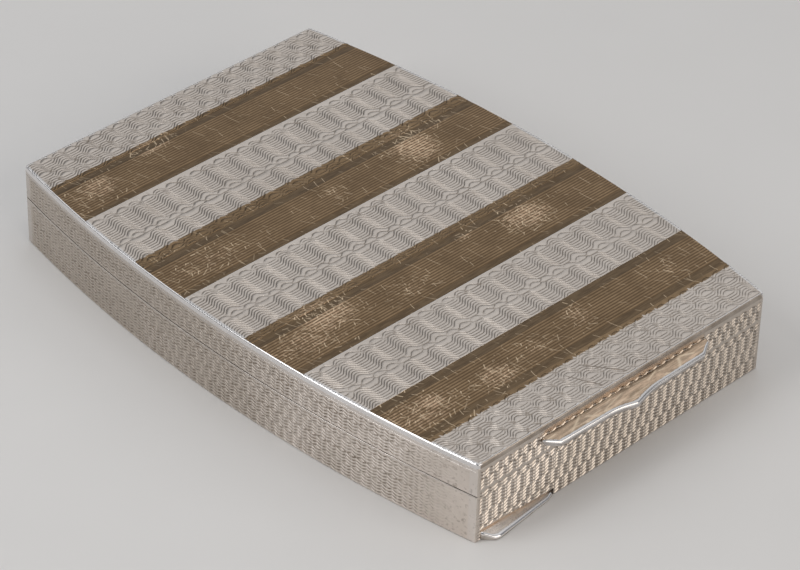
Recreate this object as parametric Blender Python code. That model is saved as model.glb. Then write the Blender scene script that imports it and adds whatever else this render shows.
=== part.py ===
"""Flat silver box with two compartments, modelled as the pieces that a silversmith solders together.

Straight short ends, long sides that bow outwards, a hinged lid with a thumb-piece, and a hinged
cover in the underside with its own thumb-piece at one corner.  +Z is up, the thumb-pieces are at the
front (-Y), both hinges run along X at the rear (+Y), and the origin is the middle of the underside.
"""

import math

import bmesh
import bpy
from mathutils import Matrix, Vector

# Outline of the box
BOX_LENGTH = 0.0800
END_WIDTH = 0.0484
SIDE_BOW = 0.00385

# Heights: lower compartment, base wall from the middle floor to the seam, lid from the seam up
LOWER_DEPTH = 0.0043
BASE_RIM_HEIGHT = 0.0013
LID_HEIGHT = 0.0047

# Gauges of the silver sheet
WALL_SHEET = 0.0007
TOP_SHEET = 0.0007
FLOOR_SHEET = 0.0005
COVER_SHEET = 0.0006
BEZEL_SHEET = 0.0004

# Clearances: a soldered joint, a rim that slides into its neighbour, the seam, a turning pin
SOLDER_GAP = 0.00004
SLIP_GAP = 0.00010
SEAM_GAP = 0.00010
RUNNING_GAP = 0.00005
OVERRUN = 0.0010

# Broken edges
TOP_EDGE_BEVEL = 0.00025
SEAM_BEVEL = 0.00010
FOOT_BEVEL = 0.00015
RIM_BEVEL = 0.00008

# Rims that hold the two compartments shut
BEZEL_RISE = 0.0018
FLANGE_HEIGHT = 0.0015

# Thumb-piece of the lid: a sloping shelf with a pointed middle
LID_THUMB_LENGTH = 0.0280
LID_THUMB_SHOULDER = 0.00155
LID_THUMB_POINT = 0.00215
LID_THUMB_POINT_WIDTH = 0.0080
LID_THUMB_CORNER = 0.0018
LID_THUMB_SHEET = 0.0007
LID_THUMB_DROP = 0.0016
LID_THUMB_BEVEL = 0.00016
LID_THUMB_FALL_SHARE = 0.5
LID_THUMB_SHOULDER_FALL_SHARE = 0.93
LID_THUMB_CORNER_REACH_SHARE = 0.26
LID_THUMB_POINT_STEPS = 7

# Thumb-piece of the bottom cover: a tapering ledge in a notch at the front left corner
COVER_THUMB_SETBACK = 0.0009
COVER_THUMB_LENGTH = 0.0118
COVER_THUMB_REACH = 0.00135
COVER_THUMB_HEIGHT = 0.00130
COVER_THUMB_LOW_HEIGHT = 0.00075
COVER_THUMB_BEVEL = 0.00015
COVER_THUMB_OUTLINE_SHARES = ((0.10, 0.90), (0.16, 1.00), (0.90, 0.32))

# Hinge of the lid: barrels half sunk in the rear walls, their axis on the rear face at the seam
LID_BARREL_RADIUS = 0.0009
LID_PIN_RADIUS = 0.00035
LID_HINGE_SETBACK = 0.0030
LID_BARREL_COUNT = 7

# Hinge of the bottom cover: barrels flush with the rear face and the underside, wall to wall
COVER_BARREL_RADIUS = 0.0007
COVER_PIN_RADIUS = 0.00025
COVER_BARREL_COUNT = 7

# Smoothness of the curves
SIDE_STEPS = 24
BARREL_STEPS = 28
PIN_STEPS = 24
SMOOTH_ANGLE = math.radians(30)

FLOOR_HEIGHT = COVER_SHEET + LOWER_DEPTH
SEAM_HEIGHT = FLOOR_HEIGHT + FLOOR_SHEET + BASE_RIM_HEIGHT
BOX_HEIGHT = SEAM_HEIGHT + LID_HEIGHT
FRONT = -BOX_LENGTH / 2
REAR = BOX_LENGTH / 2
SIDE_RADIUS = (REAR ** 2 + SIDE_BOW ** 2) / (2 * SIDE_BOW)
SIDE_CENTRE = END_WIDTH / 2 + SIDE_BOW - SIDE_RADIUS
LID_AXIS = Vector((0, REAR, SEAM_HEIGHT))
COVER_AXIS = Vector((0, REAR - COVER_BARREL_RADIUS, COVER_BARREL_RADIUS))

SILVER = (0.60, 0.58, 0.54)
POLISHED_SILVER = (0.72, 0.71, 0.69)
GILT = (0.62, 0.45, 0.22)
STEEL = (0.50, 0.50, 0.50)


def clear_scene():
    """Empties the scene so that only the box is in it."""
    for item in list(bpy.data.objects):
        bpy.data.objects.remove(item, do_unlink=True)


def metal(name, colour, roughness):
    """A plain metal for one piece."""
    material = bpy.data.materials.new(name)
    material.use_nodes = True
    shader = material.node_tree.nodes["Principled BSDF"]
    shader.inputs["Base Color"].default_value = (*colour, 1.0)
    shader.inputs["Roughness"].default_value = roughness
    shader.inputs["Metallic"].default_value = 1.0
    return material


def add_axis(name, place):
    """An empty on a hinge line, which carries the pieces that turn about it."""
    axis = bpy.data.objects.new(name, None)
    axis.location = place
    bpy.context.scene.collection.objects.link(axis)
    return axis


def add_piece(name, shape, colour, roughness, axis=None):
    """Makes one named piece from a mesh in the box's own frame, and hangs it on its hinge axis."""
    if axis is not None:
        bmesh.ops.translate(shape, vec=-axis.location, verts=shape.verts)
    bmesh.ops.recalc_face_normals(shape, faces=shape.faces)
    mesh = bpy.data.meshes.new(name)
    shape.to_mesh(mesh)
    shape.free()
    mesh.materials.append(metal(name + "_metal", colour, roughness))
    mesh.shade_smooth()
    mesh.set_sharp_from_angle(angle=SMOOTH_ANGLE)
    piece = bpy.data.objects.new(name, mesh)
    bpy.context.scene.collection.objects.link(piece)
    piece.parent = axis
    return piece


def cut_away(piece, name, shape):
    """Cuts a shape, given in the box's own frame, out of a piece."""
    cutter = add_piece(name, shape, STEEL, 0.5, piece.parent)
    cutter.hide_render = True
    cutter.display_type = 'WIRE'
    cut = piece.modifiers.new(name, 'BOOLEAN')
    cut.operation = 'DIFFERENCE'
    cut.solver = 'EXACT'
    cut.object = cutter


def side_reach(along, inset):
    """Half width of the box at a place along it, measured to a line inset from the bowed side."""
    return SIDE_CENTRE + math.sqrt((SIDE_RADIUS - inset) ** 2 - along ** 2)


def cover_rear():
    """Where the cover's plate ends, just clear of the barrels of its hinge."""
    return COVER_AXIS.y - COVER_BARREL_RADIUS - RUNNING_GAP


def cover_hinge_reach():
    """Half length of the cover's hinge, which fills the width between the base's side walls."""
    return side_reach(REAR - WALL_SHEET, WALL_SHEET + SLIP_GAP)


def spaced(start, end, steps):
    """Evenly spaced values from start to end, both included."""
    return [start + (end - start) * step / steps for step in range(steps + 1)]


def raised(faces_of, low, high):
    """Turns flat faces drawn at the height low into a solid that reaches the height high."""
    shape = bmesh.new()
    for loop in faces_of:
        shape.faces.new([shape.verts.new((x, y, low)) for x, y in loop])
    bmesh.ops.remove_doubles(shape, verts=shape.verts, dist=SOLDER_GAP / 10)
    grown = bmesh.ops.extrude_face_region(shape, geom=list(shape.faces))
    top = [item for item in grown["geom"] if isinstance(item, bmesh.types.BMVert)]
    bmesh.ops.translate(shape, vec=(0, 0, high - low), verts=top)
    bmesh.ops.recalc_face_normals(shape, faces=shape.faces)
    return shape


def break_edges(shape, chosen, width, segments=2):
    """Bevels the edges that the test picks out."""
    edges = [edge for edge in shape.edges if chosen(edge)]
    bmesh.ops.bevel(shape, geom=edges, offset=width, offset_type='OFFSET', segments=segments,
                    profile=0.5, affect='EDGES', clamp_overlap=True)


def at_height(edge, height):
    """True for an edge that lies level at a height."""
    return all(abs(corner.co.z - height) < SOLDER_GAP / 10 for corner in edge.verts)


def outward_of(edge, inset):
    """True for an edge on or outside the line inset from the outline of the box."""
    middle = (edge.verts[0].co + edge.verts[1].co) / 2
    reach = side_reach(middle.y, inset)
    return abs(middle.x) > reach or abs(middle.y) > REAR - inset


def plate_outline(inset, rear):
    """Plan of a sheet that fills the box to a line inset from its outline, ending at y = rear."""
    right = [(side_reach(y, inset), y) for y in spaced(FRONT + inset, rear, SIDE_STEPS)]
    left = [(-x, y) for x, y in reversed(right)]
    return [right + left]


def side_wall_faces(side, outer, sheet, front, rear):
    """Plan of a bowed strip, outer to outer + sheet inside the outline, with mitred ends."""
    outer_line = [(side * side_reach(y, outer), y)
                  for y in spaced(FRONT + front, REAR - rear, SIDE_STEPS)]
    inner_line = [(side * side_reach(y, outer + sheet), y)
                  for y in spaced(FRONT + front + sheet, REAR - rear - sheet, SIDE_STEPS)]
    return [[outer_line[step], outer_line[step + 1], inner_line[step + 1], inner_line[step]]
            for step in range(SIDE_STEPS)]


def end_wall_faces(end, outer, sheet):
    """Plan of a straight strip across one end (-1 front, 1 rear), mitred to meet the side strips."""
    outer_y = end * (REAR - outer)
    inner_y = end * (REAR - outer - sheet)
    outer_x = side_reach(outer_y, outer) - SOLDER_GAP
    inner_x = side_reach(inner_y, outer + sheet) - SOLDER_GAP
    return [[(-outer_x, outer_y), (outer_x, outer_y), (inner_x, inner_y), (-inner_x, inner_y)]]


def block(low, high):
    """A plain block between two corners, used to cut recesses."""
    plan = [[(low[0], low[1]), (high[0], low[1]), (high[0], high[1]), (low[0], high[1])]]
    return raised(plan, low[2], high[2])


def hinge_recess(axis, half_length, radius):
    """The space that a row of barrels takes out of a rear wall."""
    half_height = radius + RUNNING_GAP
    low = (-half_length, REAR - WALL_SHEET - OVERRUN, axis.z - half_height)
    high = (half_length, REAR + OVERRUN, axis.z + half_height)
    return block(low, high)


def band(name, faces_of, low, high, broken_height, axis=None):
    """One wall strip of the lid or the base, with its outer edge at the seam broken."""
    shape = raised(faces_of, low, high)
    break_edges(shape, lambda edge: at_height(edge, broken_height) and outward_of(edge, SOLDER_GAP),
                SEAM_BEVEL, 1)
    if low == 0:
        break_edges(shape, lambda edge: at_height(edge, low) and outward_of(edge, SOLDER_GAP),
                    FOOT_BEVEL)
    return add_piece(name, shape, SILVER, 0.35, axis)


def wall_bands(prefix, low, high, broken_height, axis=None):
    """The four strips that make the wall of the lid or of the base, mitred at the corners."""
    walls = {}
    for name, side in (("left", -1), ("right", 1)):
        faces_of = side_wall_faces(side, 0, WALL_SHEET, 0, 0)
        walls[name] = band(f"{prefix}_{name}_wall", faces_of, low, high, broken_height, axis)
    for name, end in (("front", -1), ("rear", 1)):
        faces_of = end_wall_faces(end, 0, WALL_SHEET)
        walls[name] = band(f"{prefix}_{name}_wall", faces_of, low, high, broken_height, axis)
    return walls


def barrel_profile(radius, leaf_outer, leaf_sheet, leaf_length):
    """Section of one hinge barrel: a round with a flat leaf standing up from it.

    The leaf's faces lie at leaf_outer and leaf_outer - leaf_sheet beside the axis, and its end at
    leaf_length from the axis.
    """
    leaf_inner = leaf_outer - leaf_sheet
    start = math.acos(leaf_outer / radius)
    end = math.acos(max(leaf_inner / radius, -1)) - 2 * math.pi
    profile = [(radius * math.cos(angle), radius * math.sin(angle))
               for angle in spaced(start, end, BARREL_STEPS)]
    profile.append((leaf_inner, leaf_length))
    profile.append((leaf_outer, leaf_length))
    return profile


def barrel(name, axis, profile, start, length, bore_radius, holder=None):
    """One hinge barrel with its leaf, bored for the pin."""
    shape = bmesh.new()
    ring = [shape.verts.new((start, axis.y + y, axis.z + z)) for y, z in profile]
    shape.faces.new(ring)
    grown = bmesh.ops.extrude_face_region(shape, geom=list(shape.faces))
    far = [item for item in grown["geom"] if isinstance(item, bmesh.types.BMVert)]
    bmesh.ops.translate(shape, vec=(length, 0, 0), verts=far)
    piece = add_piece(name, shape, POLISHED_SILVER, 0.3, holder)
    bore = rod(axis, start - OVERRUN, length + 2 * OVERRUN, bore_radius)
    cut_away(piece, name + "_bore", bore)


def rod(axis, start, length, radius):
    """A round bar along a hinge axis."""
    shape = bmesh.new()
    turn = Matrix.Rotation(math.radians(90), 4, 'Y')
    place = Matrix.Translation((start + length / 2, axis.y, axis.z))
    bmesh.ops.create_cone(shape, cap_ends=True, segments=PIN_STEPS, radius1=radius, radius2=radius,
                          depth=length, matrix=place @ turn)
    return shape


def hinge(prefix, axis, holder, half_length, count, pin_radius, fixed_profile, turning_profile):
    """Barrels that alternate between the base and the part that turns, and the pin through them."""
    pitch = 2 * half_length / count
    length = pitch - SEAM_GAP
    for index in range(count):
        start = -half_length + index * pitch + SEAM_GAP / 2
        turning = index % 2 == 1
        owner, profile = ("turning", turning_profile) if turning else ("fixed", fixed_profile)
        barrel(f"{prefix}_hinge_{owner}_barrel_{index // 2 + 1}", axis, profile, start, length,
               pin_radius + RUNNING_GAP, holder if turning else None)
    pin = rod(axis, -half_length + SEAM_GAP, 2 * (half_length - SEAM_GAP), pin_radius)
    break_edges(pin, lambda edge: abs(edge.verts[0].co.x - edge.verts[1].co.x) < SOLDER_GAP,
                RIM_BEVEL, 1)
    add_piece(f"{prefix}_hinge_pin", pin, STEEL, 0.35)


def base():
    """Walls, floor and bezel of the fixed body."""
    top = SEAM_HEIGHT - SEAM_GAP / 2
    walls = wall_bands("base", 0, top, top)
    cut_away(walls["rear"], "lid_hinge_recess",
             hinge_recess(LID_AXIS, END_WIDTH / 2 - LID_HINGE_SETBACK, LID_BARREL_RADIUS))
    cover_reach = side_reach(cover_rear(), WALL_SHEET + SLIP_GAP)
    cut_away(walls["rear"], "cover_hinge_recess",
             hinge_recess(COVER_AXIS, cover_reach + RUNNING_GAP, COVER_BARREL_RADIUS))
    cut_away(walls["front"], "cover_thumb_notch", cover_thumb_shape(SLIP_GAP))

    floor_inset = WALL_SHEET + SOLDER_GAP
    floor = raised(plate_outline(floor_inset, REAR - floor_inset), FLOOR_HEIGHT,
                   FLOOR_HEIGHT + FLOOR_SHEET)
    floor_piece = add_piece("middle_floor", floor, GILT, 0.3)
    cut_away(floor_piece, "floor_hinge_recess",
             hinge_recess(LID_AXIS, END_WIDTH / 2 - LID_HINGE_SETBACK, LID_BARREL_RADIUS))

    low = FLOOR_HEIGHT + FLOOR_SHEET + SOLDER_GAP
    rims("lid_bezel", low, SEAM_HEIGHT + BEZEL_RISE, WALL_SHEET + SLIP_GAP,
         WALL_SHEET + SLIP_GAP + LID_BARREL_RADIUS, None)


def rims(prefix, low, high, inset, rear, axis):
    """Three upright strips, left, right and front, that slide inside a neighbour's walls."""
    def finish(name, faces_of):
        shape = raised(faces_of, low, high)
        break_edges(shape, lambda edge: at_height(edge, high), RIM_BEVEL, 1)
        add_piece(name, shape, GILT, 0.3, axis)

    for name, side in (("left", -1), ("right", 1)):
        finish(f"{prefix}_{name}", side_wall_faces(side, inset, BEZEL_SHEET, inset, rear))
    finish(f"{prefix}_front", end_wall_faces(-1, inset, BEZEL_SHEET))


def lid_thumb_outline():
    """Plan of the lid's thumb-piece, from its left root to its right root.

    The middle rises to a point as a power curve, the shoulders fall slightly to chamfered corners.
    """
    half = LID_THUMB_LENGTH / 2
    point_half = LID_THUMB_POINT_WIDTH / 2
    corner_reach = LID_THUMB_SHOULDER * LID_THUMB_CORNER_REACH_SHARE
    shoulder_end = LID_THUMB_SHOULDER * LID_THUMB_SHOULDER_FALL_SHARE
    right = []
    for share in spaced(0, 1, LID_THUMB_POINT_STEPS):
        rise = (LID_THUMB_POINT - LID_THUMB_SHOULDER) * (1 - share) ** 1.5
        right.append((point_half * share, LID_THUMB_SHOULDER + rise))
    right.append((half - LID_THUMB_CORNER, shoulder_end))
    right.append((half, corner_reach))
    right.append((half, 0))
    left = [(-x, reach) for x, reach in reversed(right[1:])]
    return left + right


def lid_thumb_piece(axis):
    """A shelf soldered to the lid's front wall, sloping down to its lip."""
    face = FRONT - SOLDER_GAP
    top = BOX_HEIGHT - LID_THUMB_DROP
    plan = [[(x, face - reach) for x, reach in lid_thumb_outline()]]
    shape = raised(plan, top - LID_THUMB_SHEET, top)
    lip = face - LID_THUMB_SHOULDER * LID_THUMB_CORNER_REACH_SHARE / 2
    break_edges(shape, lambda edge: all(corner.co.y < lip for corner in edge.verts)
                and abs(edge.verts[0].co.z - edge.verts[1].co.z) < SOLDER_GAP, LID_THUMB_BEVEL)
    for corner in shape.verts:
        corner.co.z += (corner.co.y - face) * LID_THUMB_FALL_SHARE
    add_piece("lid_thumb_piece", shape, POLISHED_SILVER, 0.25, axis)


def cover_thumb_shape(grow=0.0):
    """The bottom cover's thumb-piece, or with grow the notch for it in the front wall."""
    start = -END_WIDTH / 2 + COVER_THUMB_SETBACK
    end = start + COVER_THUMB_LENGTH
    root = FRONT + WALL_SHEET + SLIP_GAP - SOLDER_GAP
    if grow:
        plan = [(start - grow, root + OVERRUN), (start - grow, FRONT - OVERRUN),
                (end + grow, FRONT - OVERRUN), (end + grow, root + OVERRUN)]
    else:
        lip = [(start + along * COVER_THUMB_LENGTH, FRONT - out * COVER_THUMB_REACH)
               for along, out in COVER_THUMB_OUTLINE_SHARES]
        plan = [(start, root), (start, FRONT)] + lip + [(end, FRONT), (end, root)]
    low = -OVERRUN if grow else 0
    shape = raised([plan], low, COVER_THUMB_HEIGHT + grow)
    slope = (COVER_THUMB_LOW_HEIGHT - COVER_THUMB_HEIGHT) / COVER_THUMB_LENGTH
    for corner in shape.verts:
        if corner.co.z > low + SOLDER_GAP:
            corner.co.z += slope * (corner.co.x - start)
    return shape


def cover():
    """The plate that closes the lower compartment, its rims and its thumb-piece."""
    axis = add_axis("cover_hinge_axis", COVER_AXIS)
    inset = WALL_SHEET + SLIP_GAP
    plate = raised(plate_outline(inset, cover_rear()), 0, COVER_SHEET)
    add_piece("bottom_cover_plate", plate, SILVER, 0.3, axis)
    low = COVER_SHEET + SOLDER_GAP
    rims("bottom_cover_rim", low, low + FLANGE_HEIGHT, inset, REAR - cover_rear() + SLIP_GAP, axis)

    thumb = cover_thumb_shape()
    break_edges(thumb, lambda edge: all(corner.co.y < FRONT - SOLDER_GAP for corner in edge.verts),
                COVER_THUMB_BEVEL, 1)
    add_piece("bottom_cover_thumb_piece", thumb, POLISHED_SILVER, 0.25, axis)

    up = barrel_profile(COVER_BARREL_RADIUS, COVER_BARREL_RADIUS, WALL_SHEET,
                        COVER_BARREL_RADIUS + RUNNING_GAP - SOLDER_GAP)
    flat = barrel_profile(COVER_BARREL_RADIUS, COVER_BARREL_RADIUS, COVER_SHEET,
                          COVER_BARREL_RADIUS + RUNNING_GAP - SOLDER_GAP)
    forward = [(-z, -y) for y, z in flat]
    hinge("cover", COVER_AXIS, axis, cover_hinge_reach(), COVER_BARREL_COUNT, COVER_PIN_RADIUS,
          up, forward)


def lid():
    """Top sheet, walls and thumb-piece of the lid, and its hinge."""
    axis = add_axis("lid_hinge_axis", LID_AXIS)
    low = SEAM_HEIGHT + SEAM_GAP / 2
    high = BOX_HEIGHT - TOP_SHEET - SOLDER_GAP
    walls = wall_bands("lid", low, high, low, axis)
    half_length = END_WIDTH / 2 - LID_HINGE_SETBACK
    cut_away(walls["rear"], "lid_wall_hinge_recess",
             hinge_recess(LID_AXIS, half_length, LID_BARREL_RADIUS))

    top = raised(plate_outline(0, REAR), BOX_HEIGHT - TOP_SHEET, BOX_HEIGHT)
    break_edges(top, lambda edge: at_height(edge, BOX_HEIGHT), TOP_EDGE_BEVEL)
    add_piece("lid_top", top, SILVER, 0.35, axis)
    lid_thumb_piece(axis)

    up = barrel_profile(LID_BARREL_RADIUS, 0, WALL_SHEET, LID_BARREL_RADIUS + RUNNING_GAP - SOLDER_GAP)
    down = [(y, -z) for y, z in up]
    hinge("lid", LID_AXIS, axis, half_length - RUNNING_GAP, LID_BARREL_COUNT, LID_PIN_RADIUS, down, up)


clear_scene()
base()
lid()
cover()
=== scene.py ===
import math

import bpy
import numpy as np
from mathutils import Matrix, Vector


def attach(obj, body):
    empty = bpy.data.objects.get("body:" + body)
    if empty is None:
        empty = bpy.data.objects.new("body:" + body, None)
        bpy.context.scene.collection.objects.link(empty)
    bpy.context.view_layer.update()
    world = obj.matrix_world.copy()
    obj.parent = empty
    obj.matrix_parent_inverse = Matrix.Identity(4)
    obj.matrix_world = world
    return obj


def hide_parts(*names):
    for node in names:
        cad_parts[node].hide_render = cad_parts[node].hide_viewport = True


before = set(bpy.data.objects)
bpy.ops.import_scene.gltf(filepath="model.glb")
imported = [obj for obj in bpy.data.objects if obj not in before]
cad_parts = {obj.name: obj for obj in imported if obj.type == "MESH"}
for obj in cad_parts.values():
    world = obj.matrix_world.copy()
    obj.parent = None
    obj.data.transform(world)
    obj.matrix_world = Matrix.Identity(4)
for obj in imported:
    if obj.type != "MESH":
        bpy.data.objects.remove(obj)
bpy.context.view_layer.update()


# ----
# Base walls.  Four strips of silver sheet, two straight and two bowed, mitred and soldered at the
# corners.  Before they were joined each was engine turned: a cutter ploughed wavy lines along it,
# row upon row, every row half a wave out of step with the last.  The inner faces are washed with gilt.

HALF_LENGTH = 0.0400
HALF_END_WIDTH = 0.0242
SIDE_BOW = 0.00385
SIDE_RADIUS = (HALF_LENGTH ** 2 + SIDE_BOW ** 2) / (2 * SIDE_BOW)
SIDE_CENTRE = HALF_END_WIDTH + SIDE_BOW - SIDE_RADIUS
WALL_SHEET = 0.0007
CORNER_ROUND = 0.0003
CORNER_STEPS = (0.0, 0.12, 0.3, 0.55, 0.8)
MITRE = 1 - math.sqrt(0.5)
BASE_END_TOP = 0.00668
BASE_SIDE_TOP = 0.00667
STEP_WIDTH = 0.000002
WALL_COLUMN = 0.00010
WALL_CREASE = 22

END_TURNING = dict(pitch=0.000475, wave=0.00154, swing=0.00022, half_cut=0.000200, depth=0.000112,
                   margin=0.0001, strip=0.0, dirt_and_shade=1.15)
SIDE_TURNING = dict(pitch=0.000445, wave=0.00152, swing=0.00020, half_cut=0.000205, depth=0.000092,
                    margin=0.0010, strip=0.25, dirt_and_shade=1.30)
FRONT_ROWS = ((0.00038, 4, 0.00021), (0.00223, 4, 0.00090), (0.00411, 5, 0.00135),
              (0.00646, 1, 0.00068))
SIDE_ROWS = ((0.00045, 4, 0.00052), (0.00222, 4, 0.00128), (0.00390, 4, 0.00052), (0.00566, 2, 0.00128))
WORN_CORNER = 0.0005
WORN_CORNER_FADE = 0.0110
WORN_CORNER_LEFT = 0.3
TURNED_SOFTNESS = 1.0
CUT_TAPER = 0.45
CUT_RUN_OUT = 0.05
BARE_FADE = 0.4
SEAM_DARKENING_WORN = 0.7
FOOT_BREAK = 0.3
# Painted shade: the end walls darken from left to right, and the side walls towards the rear.
END_SHADE = (0.48, 1.0)
SIDE_SHADE = 0.90
SIDE_SHADE_FROM = 0.85
SIDE_SHADE_OVER = 1.3

# The foot value darkens a wall's foot with soil and painted shade; the seam value darkens the top of a
# base wall at the seam, less where it is handled.
BASE_END_EDGES = dict(foot=0.00015, top=0.00001, turned_from=0.0001, turned_to=BASE_END_TOP,
                      foot_soil_and_shade=0.6, seam_darkening=0.0)
BASE_SIDE_EDGES = dict(foot=0.00015, top=0.00001, turned_from=0.0002, turned_to=BASE_SIDE_TOP,
                       foot_soil_and_shade=0.6, seam_darkening=1.3)

COVER_NOTCH_START = -0.0234
COVER_NOTCH_END = -0.0114
COVER_NOTCH_HEIGHT = 0.0014
COVER_NOTCH_FALL = 0.0466
LID_HINGE_HALF = 0.0212
LID_HINGE_CLEARANCE = 0.00095
LID_AXIS_HEIGHT = 0.0067
COVER_HINGE_CLEARANCE = 0.00145
COVER_SIDE_GAP = 0.0001
RECESS_PLAY = 0.00005


def side_reach(along, inset=0.0):
    """Half width of the box: an arc of SIDE_RADIUS less the inset, struck from SIDE_CENTRE."""
    return SIDE_CENTRE + np.sqrt((SIDE_RADIUS - inset) ** 2 - along ** 2)


def rosette_wave(turn, crest_share, trough_share, softness):
    """Rise of a turned line, 1 on its crest at every whole turn and 0 in its trough.

    Level for crest_share of the half turn, then a climb, then level for trough_share, mirrored about
    the crest.  The climb is straight at softness 0 and fully eased at both ends at softness 1.
    """
    away = 2 * np.abs((turn + 0.5) % 1.0 - 0.5)
    climb = np.clip((away - crest_share) / (1 - crest_share - trough_share), 0, 1)
    return 1 - climb - softness * (climb * climb * (3 - 2 * climb) - climb)


def line_places(rows, pitch):
    """Places of all the turned lines of some rows.

    A row is the place of its first line, how many lines it has, and where one crest lies.
    """
    return np.concatenate([first + pitch * np.arange(count) for first, count, crest in rows])


def turned_lines(across, rows, pitch, wave, swing, crest_share, trough_share, softness):
    """Where every turned line runs: its place, plus swing times the rosette wave less a half."""
    crests = np.concatenate([np.full(count, crest) for first, count, crest in rows])
    rise = rosette_wave((across - crests[:, None]) / wave, crest_share, trough_share, softness)
    return line_places(rows, pitch)[:, None] + swing * (rise - 0.5)


def cut_spread(across, lines, half_cut):
    """Half width of the cut square to the rows: half_cut times the root of 1 + slope squared."""
    slope = np.gradient(lines, axis=1) / np.gradient(np.broadcast_to(across, lines.shape), axis=1)
    return half_cut * np.sqrt(1 + slope ** 2)


def cut_share(up, lines, spread, fullness):
    """Depth of the V cuts as a share: the most, over all lines, of fullness times a falling term.

    The term is 1 on the line itself and falls evenly to 0 at the line's spread.
    """
    share = np.zeros_like(up)
    for line, half, full in zip(lines, spread, np.broadcast_to(fullness, lines.shape)):
        share = np.maximum(share, full * (1 - np.abs(up - line) / half))
    return share


def ring_solid(name, rings, marks, finish, crease, gilt_strip=None):
    """A closed solid from rings of points, where rings[place, ring] is a point.

    Quads join each ring to the next, and the first and last rings are capped.  marks are values
    that vary over the surface, kept on the points under their names.  gilt_strip is the place in
    the rings after which the strip that makes a sheet's inner face begins.
    """
    around, along = rings.shape[:2]
    index = np.arange(around * along).reshape(around, along)
    following = np.roll(index, -1, axis=0)
    quads = np.stack([index[:, :-1], index[:, 1:], following[:, 1:], following[:, :-1]], -1)
    quads = quads.reshape(-1, 4)
    points = rings.reshape(-1, 3)
    caps = [index[:, 0], index[::-1, -1]]
    a, b, c, d = (points[quads[:, corner]] for corner in range(4))
    volume = np.einsum("ij,ij->", a, np.cross(b, c)) + np.einsum("ij,ij->", a, np.cross(c, d))
    if volume < 0:
        quads = quads[:, ::-1]
        caps = [cap[::-1] for cap in caps]
    corners = np.concatenate([quads.ravel(), *caps])
    sizes = np.concatenate([np.full(len(quads), 4), [around, around]])
    mesh = bpy.data.meshes.new(name)
    mesh.vertices.add(len(points))
    mesh.vertices.foreach_set("co", points.astype(np.float32).ravel())
    mesh.loops.add(len(corners))
    mesh.loops.foreach_set("vertex_index", corners.astype(np.int32))
    mesh.polygons.add(len(sizes))
    mesh.polygons.foreach_set("loop_start", (np.cumsum(sizes) - sizes).astype(np.int32))
    mesh.materials.append(finish)
    if gilt_strip is not None:
        mesh.materials.append(gilt_wash)
        gilt = np.zeros(around, int)
        gilt[gilt_strip] = 1
        gilt = np.concatenate([np.repeat(gilt, along - 1), [0, 0]])
        mesh.polygons.foreach_set("material_index", gilt.astype(np.int32))
    mesh.update(calc_edges=True)
    for label, values in marks.items():
        layer = mesh.attributes.new(label, "FLOAT", "POINT")
        layer.data.foreach_set("value", values.astype(np.float32).ravel())
    mesh.shade_smooth()
    mesh.set_sharp_from_angle(angle=math.radians(crease))
    piece = bpy.data.objects.new(name, mesh)
    bpy.context.scene.collection.objects.link(piece)
    return piece


def add_node(tree, kind, inputs=(), **settings):
    """One shader node: settings are its own properties, inputs its sockets' values or links."""
    node = tree.nodes.new("ShaderNode" + kind)
    for key, value in settings.items():
        setattr(node, key, value)
    for key, value in dict(inputs).items():
        socket = node.inputs[key]
        if isinstance(value, bpy.types.NodeSocket):
            tree.links.new(value, socket)
        else:
            socket.default_value = (*value, 1.0) if socket.type == "RGBA" else value
    return node


def work_out(tree, operation, *values, clamp=False):
    """The result of one sum, product or other step on numbers or sockets."""
    return add_node(tree, "Math", dict(enumerate(values)), operation=operation,
                    use_clamp=clamp).outputs[0]


def times(tree, first, second, plus=None, clamp=False):
    """The product of two numbers or sockets, and a third added to it where plus is given."""
    if plus is None:
        return work_out(tree, "MULTIPLY", first, second, clamp=clamp)
    return work_out(tree, "MULTIPLY_ADD", first, second, plus, clamp=clamp)


def step_vectors(tree, operation, *values):
    """The results of one step on vectors: a vector, then a number."""
    return add_node(tree, "VectorMath", dict(enumerate(values)), operation=operation).outputs


def noise(tree, place, scale, detail, roughness=0.5):
    """Soft random cloud between 0 and 1."""
    inputs = {"Vector": place, "Scale": scale, "Detail": detail, "Roughness": roughness}
    return add_node(tree, "TexNoise", inputs).outputs["Fac"]


def use_group(tree, group, **inputs):
    """The first result of a node group, given its named inputs."""
    return add_node(tree, "Group", inputs, node_tree=group).outputs[0]


def new_group(name, output, **inputs):
    """An empty shader node group with named sockets; an input without a value is a vector."""
    group = bpy.data.node_groups.new(name, "ShaderNodeTree")
    for label, value in inputs.items():
        kind = "NodeSocketVector" if value is None else "NodeSocketFloat"
        socket = group.interface.new_socket(label, in_out="INPUT", socket_type=kind)
        if value is not None:
            socket.default_value = value
    kind = "NodeSocketColor" if output == "Color" else "NodeSocketFloat"
    group.interface.new_socket(output, in_out="OUTPUT", socket_type=kind)
    given = group.nodes.new("NodeGroupInput").outputs
    return group, given, group.nodes.new("NodeGroupOutput").inputs[output]


def mix_colours(tree, share, first, second):
    """Colour first where share is 0 and second where it is 1."""
    return add_node(tree, "Mix", {0: share, 6: first, 7: second},
                    data_type="RGBA").outputs[2]


def mix_values(tree, share, first, second, start=0.0, end=1.0):
    """Value first where share is at start or below, and second where it is at end or above."""
    return add_node(tree, "MapRange", {"Value": share, "From Min": start, "From Max": end,
                    "To Min": first, "To Max": second}).outputs[0]


def tarnish_group():
    """Cloudy tarnish: two sizes of noise mixed, stretched between Low and High to a mask."""
    group, given, result = new_group("tarnish", "Mask", Vector=None, Scale=120.0, Low=0.35, High=0.65)
    broad = noise(group, given["Vector"], given["Scale"], detail=4.0, roughness=0.6)
    small = times(group, given["Scale"], 7.0)
    small = noise(group, given["Vector"], small, detail=3.0, roughness=0.6)
    both = times(group, small, 0.3, plus=times(group, broad, 0.7))
    group.links.new(mix_values(group, both, 0.0, 1.0, given["Low"], given["High"]), result)
    return group


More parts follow.
